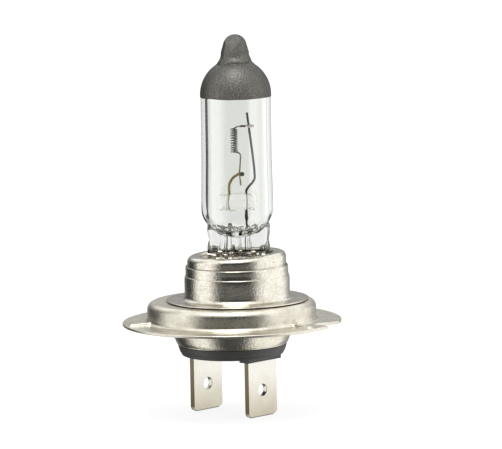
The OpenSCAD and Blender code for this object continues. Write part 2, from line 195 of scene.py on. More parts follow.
class Graph:
    """The nodes of a material or world and short ways to add to them."""

    def __init__(self, owner, space="Object"):
        owner.use_nodes = True
        self.owner = owner
        self.tree = owner.node_tree
        self.shader = self.tree.nodes.get("Principled BSDF")
        self.coord = self.node("ShaderNodeTexCoord").outputs[space]

    def node(self, kind, **values):
        n = self.tree.nodes.new(kind)
        for key, value in values.items():
            if hasattr(n, key) and key not in n.inputs:
                setattr(n, key, value)
            else:
                n.inputs[key].default_value = value
        return n

    def link(self, a, b):
        self.tree.links.new(a, b)

    def set(self, **values):
        for key, value in values.items():
            self.shader.inputs[key.replace("_", " ")].default_value = value

    def noise(self, scale, detail=3, rough=0.55, stretch=None):
        n = self.node("ShaderNodeTexNoise", Scale=scale, Detail=detail, Roughness=rough)
        if stretch:
            m = self.node("ShaderNodeMapping")
            m.inputs["Scale"].default_value = stretch
            self.link(self.coord, m.inputs["Vector"])
            self.link(m.outputs["Vector"], n.inputs["Vector"])
        else:
            self.link(self.coord, n.inputs["Vector"])
        return n.outputs["Fac"]

    def ramp(self, source, stops, curve="LINEAR"):
        """Colours, or greys given as one number, at places from 0 to 1."""
        n = self.node("ShaderNodeValToRGB")
        ramp = n.color_ramp
        ramp.interpolation = curve
        while len(ramp.elements) < len(stops):
            ramp.elements.new(0.5)
        for element, (pos, colour) in zip(ramp.elements, stops):
            element.position = pos
            element.color = (*colour, 1) if isinstance(colour, tuple) else (colour, colour, colour, 1)
        self.link(source, n.inputs["Fac"])
        return n.outputs["Color"]

    def calc(self, operation, *values):
        """Sum or function of numbers and node outputs."""
        n = self.node("ShaderNodeMath", operation=operation)
        for socket, value in zip(n.inputs, values):
            if isinstance(value, (int, float)):
                socket.default_value = value
            else:
                self.link(value, socket)
        return n.outputs[0]

    def axes(self, vector):
        n = self.node("ShaderNodeSeparateXYZ")
        self.link(vector, n.inputs["Vector"])
        return n.outputs

    def mix(self, mode, a, b, factor=1.0):
        n = self.node("ShaderNodeMix", data_type="RGBA", blend_type=mode)
        n.inputs["Factor"].default_value = factor
        self.link(a, n.inputs[6])
        self.link(b, n.inputs[7])
        return n.outputs[2]

    def remap(self, source, lo, hi, to_lo, to_hi):
        n = self.node("ShaderNodeMapRange")
        for key, value in zip(("From Min", "From Max", "To Min", "To Max"), (lo, hi, to_lo, to_hi)):
            n.inputs[key].default_value = value
        self.link(source, n.inputs["Value"])
        return n.outputs["Result"]

    def bump(self, *layers):
        """Layers of (height output, distance in mm, strength)."""
        last = None
        for height, distance, strength in layers:
            n = self.node("ShaderNodeBump", Strength=strength, Distance=distance * MM)
            self.link(height, n.inputs["Height"])
            if last:
                self.link(last, n.inputs["Normal"])
            last = n.outputs["Normal"]
        self.link(last, self.shader.inputs["Normal"])


def satin_metal(name, dark, light, rough, grain, stretch=(1, 1, 1), pitted=0.0, painted_glow=0.0):
    """Plated or drawn sheet: fine pressed grain, soft mottling, speckle and faint draw lines."""
    g = Graph(bpy.data.materials.new(name))
    # painted_glow is painted light: emission that makes the metal glow though it is no lamp
    g.set(Metallic=1.0, Emission_Color=(1.0, 0.97, 0.9, 1), Emission_Strength=painted_glow)
    mottle = g.noise(420, 4, 0.6)
    fine = g.noise(3300, 3, 0.7)
    drawn = g.noise(900, 3, 0.6, stretch)
    colour = g.ramp(mottle, [(0.3, dark), (0.7, light)])
    speckle = g.ramp(g.noise(5200, 2, 0.7),
                     [(0.36, (0.5, 0.49, 0.47)), (0.5, (0.95, 0.95, 0.94)), (0.64, (1.4, 1.4, 1.38))])
    g.link(g.mix("MULTIPLY", colour, speckle, pitted), g.shader.inputs["Base Color"])
    g.link(g.remap(fine, 0.3, 0.7, *rough), g.shader.inputs["Roughness"])
    g.bump((drawn, 0.02, 0.12 * grain), (fine, 0.05, 0.75 * grain))
    return g.owner


def glass_material(name, tint, rough, wave, milky=0.0, painted_glow=0.0):
    """Clear glass with faint waves; milky is the share that scatters instead of letting through."""
    g = Graph(bpy.data.materials.new(name))
    g.set(Transmission_Weight=1.0 - milky, IOR=1.5, Base_Color=(*tint, 1))
    # painted_glow is painted light: emission that makes the glass glow though it is no lamp
    g.set(Emission_Color=(1.0, 1.0, 0.98, 1), Emission_Strength=painted_glow)
    smear = g.noise(160, 3, 0.6)
    g.link(g.remap(smear, 0.45, 0.8, 0.0, rough), g.shader.inputs["Roughness"])
    g.bump((g.noise(260, 2, 0.5), 0.02, wave))
    return g.owner


M_SLEEVE = satin_metal("sleeve_satin", (0.50, 0.47, 0.40), (0.68, 0.65, 0.57), (0.11, 0.22), 1.1,
                       (1, 1, 9), 0.36)
M_RING = satin_metal("ring_satin", (0.49, 0.46, 0.39), (0.66, 0.63, 0.545), (0.25, 0.37), 0.45,
                     (1, 1, 6), 0.28)
M_SHELL = satin_metal("shell_satin", (0.48, 0.45, 0.37), (0.66, 0.63, 0.54), (0.13, 0.24), 1.1,
                      (1, 1, 6), 0.3)
M_CLIP = satin_metal("clip_spring", (0.30, 0.28, 0.25), (0.62, 0.60, 0.55), (0.18, 0.32), 0.8)
M_LUG = satin_metal("clip_curl", (0.3, 0.25, 0.16), (0.85, 0.81, 0.72), (0.08, 0.2), 0.8)
M_STRIP = satin_metal("strip_satin", (0.55, 0.5, 0.4), (0.7, 0.65, 0.55), (0.25, 0.4), 0.8)
M_TUNGSTEN = satin_metal("tungsten", (0.17, 0.17, 0.165), (0.38, 0.38, 0.365), (0.16, 0.28), 0.3)
M_LEAD = satin_metal("lead_wire", (0.03, 0.029, 0.024), (0.13, 0.125, 0.105), (0.12, 0.24), 0.3)
M_GILT = satin_metal("gilt_wire", (0.22, 0.17, 0.07), (0.58, 0.50, 0.27), (0.13, 0.25), 0.3)
# The clamp bar is given painted_glow 0.2: painted light, a glow standing in for the light it lacks
# inside the glass
M_BRIGHT = satin_metal("bright_wire", (0.78, 0.76, 0.70), (0.93, 0.91, 0.86), (0.2, 0.34), 0.3,
                       painted_glow=0.2)
M_GLASS = glass_material("lamp_glass", (0.915, 0.925, 0.90), 0.02, 0.03)
# The bridge bead is given painted_glow 0.1: painted light, a faint glow standing in for light inside the
# glass
M_BRIDGE = glass_material("bridge_glass", (0.985, 0.985, 0.975), 0.12, 0.2, 0.12, 0.1)


def coating_material():
    """Baked powder coat with fine metallic grain, its colour darkened towards its limb as painted shade.
    """
    g = Graph(bpy.data.materials.new("blackout_grain"))
    g.set(Metallic=0.4)
    mottle = g.noise(500, 4, 0.6)
    sparkle = g.noise(6500, 1, 0.5)
    # Painted shade: the base colour is darkened towards the limb so that the coat's sides look shaded
    facing = g.node("ShaderNodeLayerWeight", Blend=0.35)
    base = g.ramp(facing.outputs["Facing"],
                  [(0.0, (0.12, 0.117, 0.104)), (0.35, (0.054, 0.052, 0.046)),
                   (0.75, (0.026, 0.0255, 0.023))])
    grain = g.ramp(sparkle, [(0.35, 0.7), (0.52, 1.0), (0.72, (2.0, 2.0, 1.9))])
    g.link(g.mix("MULTIPLY", base, grain), g.shader.inputs["Base Color"])
    g.link(g.remap(sparkle, 0.35, 0.7, 0.56, 0.4), g.shader.inputs["Roughness"])
    g.bump((mottle, 0.05, 0.15), (sparkle, 0.03, 0.35))
    return g.owner


def insulator_material():
    """Dark moulded ceramic with pale dust."""
    g = Graph(bpy.data.materials.new("insulator_moulded"))
    mottle = g.noise(300, 4, 0.6)
    speck = g.noise(3600, 2, 0.6)
    base = g.ramp(mottle, [(0.3, (0.024, 0.024, 0.023)), (0.72, (0.040, 0.040, 0.038))])
    dust = g.ramp(speck, [(0.68, 0.0), (0.8, (0.10, 0.10, 0.095))])
    g.link(g.mix("ADD", base, dust), g.shader.inputs["Base Color"])
    g.link(g.remap(speck, 0.3, 0.7, 0.42, 0.6), g.shader.inputs["Roughness"])
    g.bump((mottle, 0.04, 0.12), (speck, 0.03, 0.35))
    return g.owner


def blade_material():
    """Nickel-plated blade, warmer and duller towards its end, its cut edges darkened to brown as a
    painted dark outline of shade.
    """
    g = Graph(bpy.data.materials.new("blade_nickel"))
    g.set(Metallic=1.0)
    x, y, z = g.axes(g.coord)
    tone = g.noise(330, 4, 0.6)
    fine = g.noise(3800, 2, 0.65)
    drawn = g.noise(700, 3, 0.6, (1, 1, 10))
    height = g.remap(z, BLADE_TIP + 0.05 * MM, BLADE_TIP + 8.65 * MM, 0.0, 1.0)
    colour = g.ramp(g.calc("MULTIPLY_ADD", tone, 0.5, height),
                    [(0.15, (0.34, 0.31, 0.235)), (0.6, (0.49, 0.46, 0.385)), (1.0, (0.61, 0.59, 0.54))])
    # Painted shade: the side and end edges are darkened to brown as a dark outline
    side_edge = g.remap(g.calc("ABSOLUTE", y), BLADE_SIDE - 0.1 * MM, BLADE_SIDE - 0.01 * MM, 0.0, 1.0)
    end_edge = g.remap(z, BLADE_TIP + 0.23 * MM, BLADE_TIP + 0.05 * MM, 0.0, 1.0)
    edge_shade = g.ramp(g.calc("MAXIMUM", side_edge, end_edge), [(0.0, 1.0), (1.0, (0.22, 0.185, 0.135))])
    g.link(g.mix("MULTIPLY", colour, edge_shade), g.shader.inputs["Base Color"])
    g.link(g.remap(fine, 0.3, 0.7, 0.2, 0.36), g.shader.inputs["Roughness"])
    g.bump((drawn, 0.02, 0.15), (fine, 0.02, 0.3))
    return g.owner


M_BLADE = blade_material()
M_COAT = coating_material()
M_BODY = insulator_material()

# ---- glass envelope

TUBE_R = 5.3
WALL = 1.0
FLARE = 0.14        # the tube is this much wider at its bottom
TIP_R = 1.8
TIP_TOP = TIP - SEAT
TIP_Z = TIP_TOP - TIP_R
NECK_R = 2.55       # of the hollow curve under the tip
NECK_C = 2.05 + NECK_R
NECK_Z = TIP_TOP - 2.7
DOME_Z = NECK_Z - math.sqrt((TUBE_R + NECK_R) ** 2 - NECK_C ** 2)
DOME_A = math.degrees(math.atan2(NECK_Z - DOME_Z, NECK_C))
COAT = 0.07         # thickness
GAP = 0.012         # between the glass and its coating
SHOULDER_Z = 17.0   # under this the tube closes to the pinch
BOTTOM_Z = 12.6
WELL_Z = 14.2       # floor of the hollow
WELL_POWER = 0.42   # less is a flatter floor
SLOPE_END_Z = 26    # over this the tube has its plain radius
PINCH_X = 0.45 - TUBE_SHIFT
PINCH_HALF = 4.75
PINCH_Z = 4.6
PINCH_T = 1.12      # half thickness of the flat
PINCH_ROLL = 0.42   # how much thicker its rolled edges are
PINCH_EDGE = 1.1    # width over which an edge rounds off
RIBS = ((-3.15, 0.13, 0.3), (-2.65, 0.1, 0.2), (-1.65, 0.3, 0.4), (0.15, 0.12, 0.26),
        (1.35, 0.3, 0.42), (2.8, 0.12, 0.28), (3.5, 0.16, 0.24))    # place, width, height


def crown(g, n=1):
    """Outline of dome, neck and tip, moved inward by g."""
    return (arc(0, DOME_Z, TUBE_R + COAT - g, 0, DOME_A, 16 * n)
            + arc(NECK_C, NECK_Z, NECK_R - COAT + g, 180 + DOME_A, 180, 10 * n)
            + arc(0, TIP_Z, TIP_R - g, 13, 90, 12 * n))


FACET_N = Vector((-0.3, -0.66, 0.69)).normalized()
FACET_D = 1.45      # from the centre of the tip's sphere
CREASE_Z = TIP_TOP - 4.35
LEAN, LEAN_Z = 0.006, 22


def tip_shape(x, y, z):
    """Leans the tube a little, folds the neck and cuts the sealed-off tip on a slant."""
    r = math.hypot(x, y)
    if z > DOME_Z + 1.5 and r > 0.01:
        front = smoothstep(-0.2, 0.6, -y / r)
        fold = -0.16 * math.exp(-((z - CREASE_Z - 0.06 * x) / 0.13) ** 2)
        fold += 0.13 * math.exp(-((z - CREASE_Z - 0.5 - 0.06 * x) / 0.3) ** 2)
        grow = 1 + front * fold / r
        ripple = 0.025 * noise.noise(Vector((x * 1.3, y * 1.3, z * 2.1)))
        grow += ripple * smoothstep(CREASE_Z - 1, CREASE_Z + 1, z)
        x, y = x * grow, y * grow
        p = Vector((x, y, z - TIP_Z))
        over = p.dot(FACET_N) - FACET_D
        if over > 0:
            p -= FACET_N * over * 0.96
            x, y, z = p.x, p.y, p.z + TIP_Z
    x += LEAN * (z - LEAN_Z)
    return x, y, z


def on_tube(x, y, z):
    """Point of the tube, given from its own straight axis."""
    x, y, z = tip_shape(x, y, z)
    return on_burner(x + TUBE_SHIFT, y, z)


def pinch_half_thickness(x):
    """Half thickness of the pinch at x across it, with thick rolled edges and ribs."""
    u = x - PINCH_X
    edge = smoothstep(PINCH_HALF - 2.2, PINCH_HALF - 0.9, abs(u))
    t = PINCH_T + PINCH_ROLL * edge
    for rib, width, height in RIBS:
        t += height * math.exp(-((u - rib) / width) ** 2)
    end = max(1 - (max(abs(u) - (PINCH_HALF - PINCH_EDGE), 0) / PINCH_EDGE) ** 2, 0)
    return t * math.sqrt(end)


HALVINGS = 40


def pinch_radius(a):
    """Distance from the axis to the pinch outline along direction a, found by halving."""
    lo, hi = 0.0, 6.2
    c, s = math.cos(a), abs(math.sin(a))
    for _ in range(HALVINGS):
        mid = (lo + hi) / 2
        inside = abs(mid * c - PINCH_X) < PINCH_HALF and mid * s < pinch_half_thickness(mid * c)
        lo, hi = (mid, hi) if inside else (lo, mid)
    return lo


def build_glass():
    """Outside of pinch, bowl, tube and crown, and the sealed hollow with its creased floor."""
    segs = 540
    angles = [TAU * k / segs for k in range(segs)]
    slab = [pinch_radius(a) for a in angles]
    verts, faces = [], []

    def ring(radii, z, lift=None):
        start = len(verts)
        for k, a in enumerate(angles):
            r = radii[k] if isinstance(radii, list) else radii
            dz = lift(a, r) if lift else 0
            verts.append(on_tube(r * math.cos(a), r * math.sin(a), z + dz))
        return start

    def join(a, b):
        for k in range(segs):
            m = (k + 1) % segs
            faces.append((a + k, a + m, b + m, b + k))

    def cap(a, z):
        centre = len(verts)
        verts.append(on_tube(0, 0, z))
        for k in range(segs):
            faces.append((a + k, a + (k + 1) % segs, centre))

    def bowl_radius(z):
        """Round outline of the tube and of the bowl that closes it."""
        if z >= SHOULDER_Z:
            return TUBE_R + FLARE * (1 - smoothstep(SHOULDER_Z, SLOPE_END_Z, z))
        u = (SHOULDER_Z - z) / (SHOULDER_Z - BOTTOM_Z)
        return (TUBE_R + FLARE) * math.sqrt(max(1 - u * u, 0))

    heights = spread(PINCH_Z, BOTTOM_Z + 0.05, 0.35)
    heights += spread(BOTTOM_Z + 0.1, SHOULDER_Z, 0.1)
    heights += spread(SHOULDER_Z + 0.1, DOME_Z, 0.6)
    previous = None
    for z in heights:
        row = []
        bowl = bowl_radius(z)
        # The pinch is splayed at its foot, waisted under the bowl and narrower inside the bowl.
        splay = 0.35 * (1 - smoothstep(7.5, 10.2, z)) - 0.18 * math.exp(-((z - 12.3) / 0.7) ** 2)
        narrowing = 1 - 0.35 * smoothstep(14.2, 16.6, z)
        hard = 14 if z < SHOULDER_Z else 60     # more is a sharper corner between the two
        for a, flat in zip(angles, slab):
            side = abs(math.cos(a))
            pinch = (flat + splay * side ** 4) * narrowing
            top = max(pinch, bowl)
            merged = math.log(math.exp((pinch - top) * hard) + math.exp((bowl - top) * hard)) / hard
            r = top + merged if bowl > 0.5 else pinch
            waves = noise.noise(Vector((r * math.cos(a) * 0.9, r * math.sin(a) * 0.9, z * 0.8)))
            r += 0.05 * waves * (1 - smoothstep(15.5, 18.5, z))
            folds = noise.noise(Vector((math.cos(a) * 3.6, math.sin(a) * 3.6, z * 0.9 + 3)))
            folds *= smoothstep(11.6, 12.9, z) * (1 - smoothstep(13.6, 15.2, z))
            row.append(r + 0.34 * folds * (1 - smoothstep(0.6, 0.85, side)))
        current = ring(row, z)
        if previous is None:
            cap(current, z)
        else:
            join(previous, current)
        previous = current
    for r, z in crown(COAT + GAP, 2)[:-1]:
        current = ring(r, z)
        join(previous, current)
        previous = current
    cap(previous, TIP_TOP - COAT - GAP)

    def crease(a, r):
        """Folds in the floor of the hollow, gone at its wall."""
        p = Vector((r * math.cos(a) * 0.75, r * math.sin(a) * 0.75, 3.1))
        q = Vector((r * math.cos(a) * 1.9, r * math.sin(a) * 1.9, 8.2))
        near = 1 - smoothstep(3.7, 4.4, r)
        return near * (0.55 * noise.noise(p) + 0.34 * noise.noise(q))

    inner_r = TUBE_R + FLARE - WALL
    cavity = []
    for deg in spread(-86.25, 0, 3.75):
        across, down = math.cos(math.radians(deg)), abs(math.sin(math.radians(deg)))
        cavity.append((inner_r * across ** WELL_POWER,
                       SHOULDER_Z - (SHOULDER_Z - WELL_Z) * down ** WELL_POWER))
    cavity += [(inner_r - FLARE * smoothstep(SHOULDER_Z, SLOPE_END_Z, z), z)
               for z in spread(SHOULDER_Z + 0.7, DOME_Z - 0.7, 0.7)]
    cavity += arc(0, DOME_Z, TUBE_R - WALL, 0, 88, 18)
    previous = None
    for r, z in cavity:
        low = z < SHOULDER_Z - 0.1
        current = ring(r, z, crease if low else None)
        if previous is None:
            cap(current, z + crease(0, 0))
        else:
            join(previous, current)
        previous = current
    cap(previous, DOME_Z + TUBE_R - WALL)
    mesh = bpy.data.meshes.new("glass_tube")
    mesh.from_pydata([tuple(v) for v in verts], [], faces)
    bm = bmesh.new()
    bm.from_mesh(mesh)
    bmesh.ops.recalc_face_normals(bm, faces=bm.faces)
    bm.to_mesh(mesh)
    bm.free()
    for poly in mesh.polygons:
        poly.use_smooth = True
    return add_object("glass_tube", mesh)


def fix_cavity_normals(obj):
    """Turns the outside outward and the wall of the sealed hollow into the hollow."""
    bm = bmesh.new()
    bm.from_mesh(obj.data)
    bm.faces.ensure_lookup_table()
    seen = set()
    for seed in bm.faces:
        if seed.index in seen:
            continue
        island, stack = [], [seed]
        seen.add(seed.index)
        while stack:
            f = stack.pop()
            island.append(f)
            for e in f.edges:
                for other in e.link_faces:
                    if other.index not in seen:
                        seen.add(other.index)
                        stack.append(other)
        top = max(v.co.z for f in island for v in f.verts)
        volume = sum(f.calc_center_median().dot(f.normal) * f.calc_area() for f in island)
        want_inward = top < (DOME_Z + TUBE_R + SEAT) * MM
        if (volume > 0) == want_inward:
            bmesh.ops.reverse_faces(bm, faces=island)
    bm.to_mesh(obj.data)
    bm.free()


glass = build_glass()
fix_cavity_normals(glass)
place(glass, M_GLASS, "lamp_glass", "glass_envelope")

# ---- coating on the crown

SKIRT_Z = DOME_Z - 0.4
coat_profile = [(TUBE_R + COAT - 0.015, SKIRT_Z + 0.02), (TUBE_R + COAT, SKIRT_Z + 0.05)] + crown(0, 2)
coat_profile += reversed(crown(COAT - GAP, 2))
coat_profile += [(TUBE_R + GAP, SKIRT_Z + 0.02)]


def coat_edge(r, z, a):
    """Uneven lower rim of the dipped coating."""
    low = 1 - smoothstep(SKIRT_Z, SKIRT_Z + 0.35, z)
    return 0, low * 0.07 * (noise.noise(Vector((math.cos(a) * 2.2, math.sin(a) * 2.2, 5))) + 0.4)


coat = lathe("blackout_cap", coat_profile, on_tube, 240, True, coat_edge, 60)
place(coat, M_COAT, "coating", "blackout_coating")

# ---- filament and leads

COIL_Z, COIL_LEN, COIL_R, COIL_WIRE = 25.35, 3.85, 0.45, 0.115
COIL_TURNS, COIL_CUTS = 10.5, 294
PIN_TOP_Z, UPPER_PIN_Z = 23.8, 29.4
LEAD_FOOT_Z = 1.1
LONG_X, SHORT_X = 1.66, -0.9

coil = []
for i in range(COIL_CUTS + 1):
    t = i / COIL_CUTS
    a = math.pi / 2 + TAU * COIL_TURNS * t
    rise = COIL_WIRE + (COIL_LEN - 2 * COIL_WIRE) * (t - 0.018 * math.sin(TAU * t))
    coil.append(Vector((COIL_R * math.cos(a), COIL_R * math.sin(a), COIL_Z + rise)))
lower_leg = spline([(0.87, 0, PIN_TOP_Z), (0.88, 0.02, 24.35), (0.94, 0.1, 24.8), (0.85, 0.28, 25.18),
                    (0.5, 0.42, 25.38), coil[0]], 6)
upper_leg = spline([coil[-1], (0.35, -0.35, 29.3), (0.7, -0.12, 29.38), (1.0, 0, UPPER_PIN_Z)], 6)
filament = sweep("filament", lower_leg[:-1] + coil + upper_leg[1:], COIL_WIRE, 10)
place(filament, M_TUNGSTEN, "tungsten", "filament_coil")

pin_path = spline([(1.0, 0, UPPER_PIN_Z), (1.4, 0, UPPER_PIN_Z + 0.02), (1.76, 0, UPPER_PIN_Z)], 6)
place(sweep("tail_pin_upper", pin_path, 0.15), M_LEAD, "tungsten", "upper_tail_pin")
pin_path = spline([(0.88, 0, 20.42), (0.73, 0, 22.3), (0.79, 0, 23.1), (0.87, 0, PIN_TOP_Z)], 8)
place(sweep("tail_pin_lower", pin_path, 0.135), M_GILT, "gilt_wire", "lower_tail_pin")

long_path = spline([(2.02, 0, 31.45), (2.3, 0, 29), (2.75, 0, 25.1), (3.0, 0, 22.1), (2.82, 0, 21.1),
                    (1.86, 0, 19.95), (LONG_X, 0, 19.2), (LONG_X, 0, 17)], 10)
long_path += [Vector((LONG_X, 0, z)) for z in (15, 14, 13.6, 11, 8, 5, LEAD_FOOT_Z)]
long_lead = sweep("lead_long", long_path, 0.18, 20, taper=lambda t: 1 if t < 0.93 else 0.62)
place(long_lead, M_LEAD, "lead_wire", "long_lead")

# The short lead is in three pieces: a gilt length, the foot inside the pinch and the dark hook.
# The gilt length ends inside the glass bridge, 1.6 mm over the foot.
short_path = spline([(0.8, 0.24, 22.14), (0.49, 0.1, 22.07), (-0.04, 0.02, 21.8), (-0.49, 0, 21.33),
                     (-0.82, 0, 20.65), (SHORT_X, 0, 19.9), (SHORT_X, 0, 19.3), (SHORT_X, 0, 17)], 10)
place(sweep("lead_short", short_path, 0.23, 20), M_GILT, "gilt_wire", "short_lead")
foot_path = [Vector((SHORT_X, 0, z)) for z in (15.4, 14.6, 14, 13.6, 11, 8, 5, LEAD_FOOT_Z)]
foot = sweep("lead_short_foot", foot_path, 0.19, taper=lambda t: 1 if t < 0.3 else 0.6)
place(foot, M_LEAD, "gilt_wire")
hook_path = spline([(0.7, 0.2, 22.12), (0.95, 0.25, 22.14), (1.1, 0.12, 22.15), (1.12, -0.08, 22.15),
                    (1.11, -0.25, 22.15), (1.11, -0.3, 22.15)], 8)
hook = sweep("lead_short_hook", hook_path, 0.33, 22,
             taper=lambda t: 0.75 + 0.3 * t - 0.35 * max(t - 0.9, 0) / 0.1)
place(hook, M_TUNGSTEN, "gilt_wire")

bar_path = spline([(1.72, 0, UPPER_PIN_Z), (1.95, 0, UPPER_PIN_Z + 0.01), (2.3, 0, UPPER_PIN_Z - 0.01),
                   (2.8, 0, UPPER_PIN_Z), (3.08, 0, UPPER_PIN_Z)], 8)
bar = sweep("lead_clamp_bar", bar_path, 0.24, 20,
            taper=lambda t: 0.85 + 0.25 * math.sin(math.pi * min(t * 1.1, 1)) if t < 0.97 else 0.7)
place(bar, M_BRIGHT, "bright_wire", "lead_clamp")

# ---- glass bridge

BRIDGE_Z, BRIDGE_MID = 17.9, 0.38
bridge_profile = ([(0.0, -2.8), (0.5, -2.86)]
                  + arc(0.95, -2.5, 0.36, -85, 40, 8)
                  + [(1.12, -2.12)] + arc(1.02, -1.85, 0.3, -55, 55, 6)
                  + [(1.1, -1.5), (1.24, -1.32), (1.38, -1.1), (1.4, -0.4)]
                  + [(1.41, 0.3), (1.39, 1.0), (1.26, 1.22), (1.12, 1.42)]
                  + arc(1.02, 1.78, 0.3, -55, 55, 6) + [(1.12, 2.06)]
                  + arc(0.95, 2.46, 0.38, -40, 85, 8)
                  + [(0.5, 2.86), (0.0, 2.8)])


def lying(x, y, z):
    """Turns a lathe's axis to lie across the tube."""
    return on_burner(BRIDGE_MID + z, y, BRIDGE_Z + x)


def bridge_wobble(r, z, a):
    """Hand-formed unevenness of the bead, with ripples along its crest."""
    n = noise.noise(Vector((r * math.cos(a) * 1.1, r * math.sin(a) * 1.1, z * 1.3)))
    crest = smoothstep(0.3, 1.0, math.cos(a))
    return 0.09 * n + 0.05 * crest * math.sin(z * 7), 0


bridge = lathe("bridge_bead", bridge_profile, lying, 96, False, bridge_wobble, 180)
place(bridge, M_BRIDGE, "bridge_glass", "glass_bridge")

# ---- sleeves and clip

SLEEVE_R, SHEET = 7.5, 0.27
SLEEVE_TOP, SLEEVE_FOOT = 10.1, 4.05
ROUND, LIP_R, GROOVE = 0.85, 5.5, 0.1
CLIP_Z = SLEEVE_TOP - SHEET - 0.5

sleeve_profile = ([(SLEEVE_R - SHEET, SLEEVE_FOOT), (SLEEVE_R, SLEEVE_FOOT), (SLEEVE_R, 6.0)]
                  + [(SLEEVE_R, 8.2), (SLEEVE_R - GROOVE, 8.3), (SLEEVE_R - GROOVE, 8.4)]
                  + [(SLEEVE_R, 8.46), (SLEEVE_R, 8.8)]
                  + arc(SLEEVE_R - ROUND, SLEEVE_TOP - ROUND, ROUND, 0, 90, 14)
                  + arc(LIP_R + SHEET, SLEEVE_TOP - SHEET, SHEET, 90, 180, 8)
                  + [(LIP_R, CLIP_Z + 0.01), (LIP_R + SHEET, CLIP_Z + 0.01)]
                  + [(LIP_R + SHEET, SLEEVE_TOP - SHEET)]
                  + arc(SLEEVE_R - ROUND, SLEEVE_TOP - ROUND, ROUND - SHEET, 90, 0, 10)
                  + [(SLEEVE_R - SHEET, 8.0)])


def pressed(depth, scale=0.35):
    """Slight unevenness of deep-drawn sheet, as a wobble for lathe."""
    def wobble(r, z, a):
        p = Vector((r * math.cos(a) * scale, r * math.sin(a) * scale, z * scale + 11))
        return depth * noise.noise(p), 0
    return wobble


def slanted_top(r, z, a):
    """The rolled top of the inner sleeve stands a little higher on one side."""
    lift = 0.045 * r * math.cos(a) * smoothstep(8.0, 9.3, z)
    return pressed(0.03)(r, z, a)[0], lift


inner = lathe("sleeve_inner", sleeve_profile, on_burner, 200, True, slanted_top, 40)
place(inner, M_SLEEVE, "sleeve_steel", "inner_sleeve")

UPPER_R = SLEEVE_R + SHEET
LOWER_R = UPPER_R + 0.21
WASHER_R, WASHER_Z, WASHER_T = 10.8, 2.95, 0.35
WASHER_TOP = WASHER_Z + WASHER_T
FOOT = 0.75         # rounding where the sleeve turns out into its washer
outer_profile = ([(LOWER_R - SHEET, WASHER_Z + 0.01), (WASHER_R - 0.45, WASHER_Z + 0.01)]
                 + [(WASHER_R - 0.12, WASHER_Z + 0.1), (WASHER_R - 0.03, WASHER_Z + 0.15)]
                 + arc(WASHER_R - 0.12, WASHER_TOP - 0.17, 0.12, 0, 86, 5)
                 + [(10.2, WASHER_TOP - 0.02), (9.4, WASHER_TOP)]
                 + arc(LOWER_R + FOOT, WASHER_TOP + FOOT, FOOT, 270, 180, 8)
                 + [(LOWER_R, 4.6), (LOWER_R, 5.6), (LOWER_R, 6.2)]
                 + [(LOWER_R - 0.05, 6.6), (LOWER_R - 0.08, 6.78)]
                 + [(UPPER_R + 0.05, 6.81), (UPPER_R + 0.01, 6.88), (UPPER_R, 7.6)]
                 + arc(UPPER_R - 0.13, 8.3 - 0.13, 0.13, 0, 90, 6)
                 + [(SLEEVE_R + 0.13, 8.3), (SLEEVE_R + 0.1, 8.1), (SLEEVE_R + 0.02, 7.2)]
                 + [(SLEEVE_R + 0.02, 6.9), (LOWER_R - SHEET, 6.5)])
outer = lathe("sleeve_outer", outer_profile, on_burner, 220, True, pressed(0.03), 40)
place(outer, M_SLEEVE, "sleeve_steel", "outer_sleeve")


def build_clip():
    """Spring plate round the pinch, with a slot that follows its outline."""
    verts, faces = [], []
    outer_r = SLEEVE_R - SHEET - 0.02
    segs = 160
    ratios = (0.0, 0.35, 0.7, 1.0)
    for ratio, drop in [(ratio, 0) for ratio in ratios] + [(ratio, 0.25) for ratio in reversed(ratios)]:
        for k in range(segs):
            a = TAU * k / segs
            slot = pinch_radius(a) + 0.12
            r = slot + (outer_r - slot) * ratio
            sag = 0.06 * math.sin(3 * a + 0.6) * (1 - ratio)
            x = r * math.cos(a) + TUBE_SHIFT * (1 - ratio)
            verts.append(on_burner(x, r * math.sin(a), CLIP_Z - drop + sag))
    for a in range(0, len(verts), segs):
        b = (a + segs) % len(verts)
        for k in range(segs):
            m = (k + 1) % segs
            faces.append((a + k, a + m, b + m, b + k))
    return make_mesh("clip_plate", verts, faces, 35)


def bent_leaf(name, x0, x1, path, thick=0.22, lean=0.0):
    """Strip of spring sheet bent along (y, z) points, from x0 to x1, leaning sideways as it rises."""
    pts = spline([(0, y, z) for y, z in path], 5)
    verts, faces = [], []
    last = len(pts) - 1
    for i, p in enumerate(pts):
        t = (pts[min(i + 1, last)] - pts[max(i - 1, 0)]).normalized()
        side = Vector((0, -t.z, t.y)) * thick / 2
        for x in (x0, x1):
            for sign in (-1, 1):
                q = p + side * sign
                verts.append(on_burner(x + lean * (q.z - path[0][1]), q.y, q.z))
    for i in range(last):
        a, b = 4 * i, 4 * i + 4
        for u, v in ((0, 1), (1, 3), (3, 2), (2, 0)):
            faces.append((a + u, a + v, b + v, b + u))
    faces.append((0, 2, 3, 1))
    faces.append((4 * last, 4 * last + 1, 4 * last + 3, 4 * last + 2))
    obj = make_mesh(name, verts, faces, 40)
    bevel = obj.modifiers.new("edge", "BEVEL")
    bevel.width = 0.04 * MM
    bevel.segments = 2
    bevel.limit_method = "ANGLE"
    return obj


def add_leaf(name, side, x0, x1, path, material, *shape):
    """Leaf on one side of the pinch; its path runs outward from the pinch and up from the plate."""
    points = [(side * y, CLIP_Z + z) for y, z in path]
    place(bent_leaf(name, x0, x1, points, *shape), material, "spring_steel")


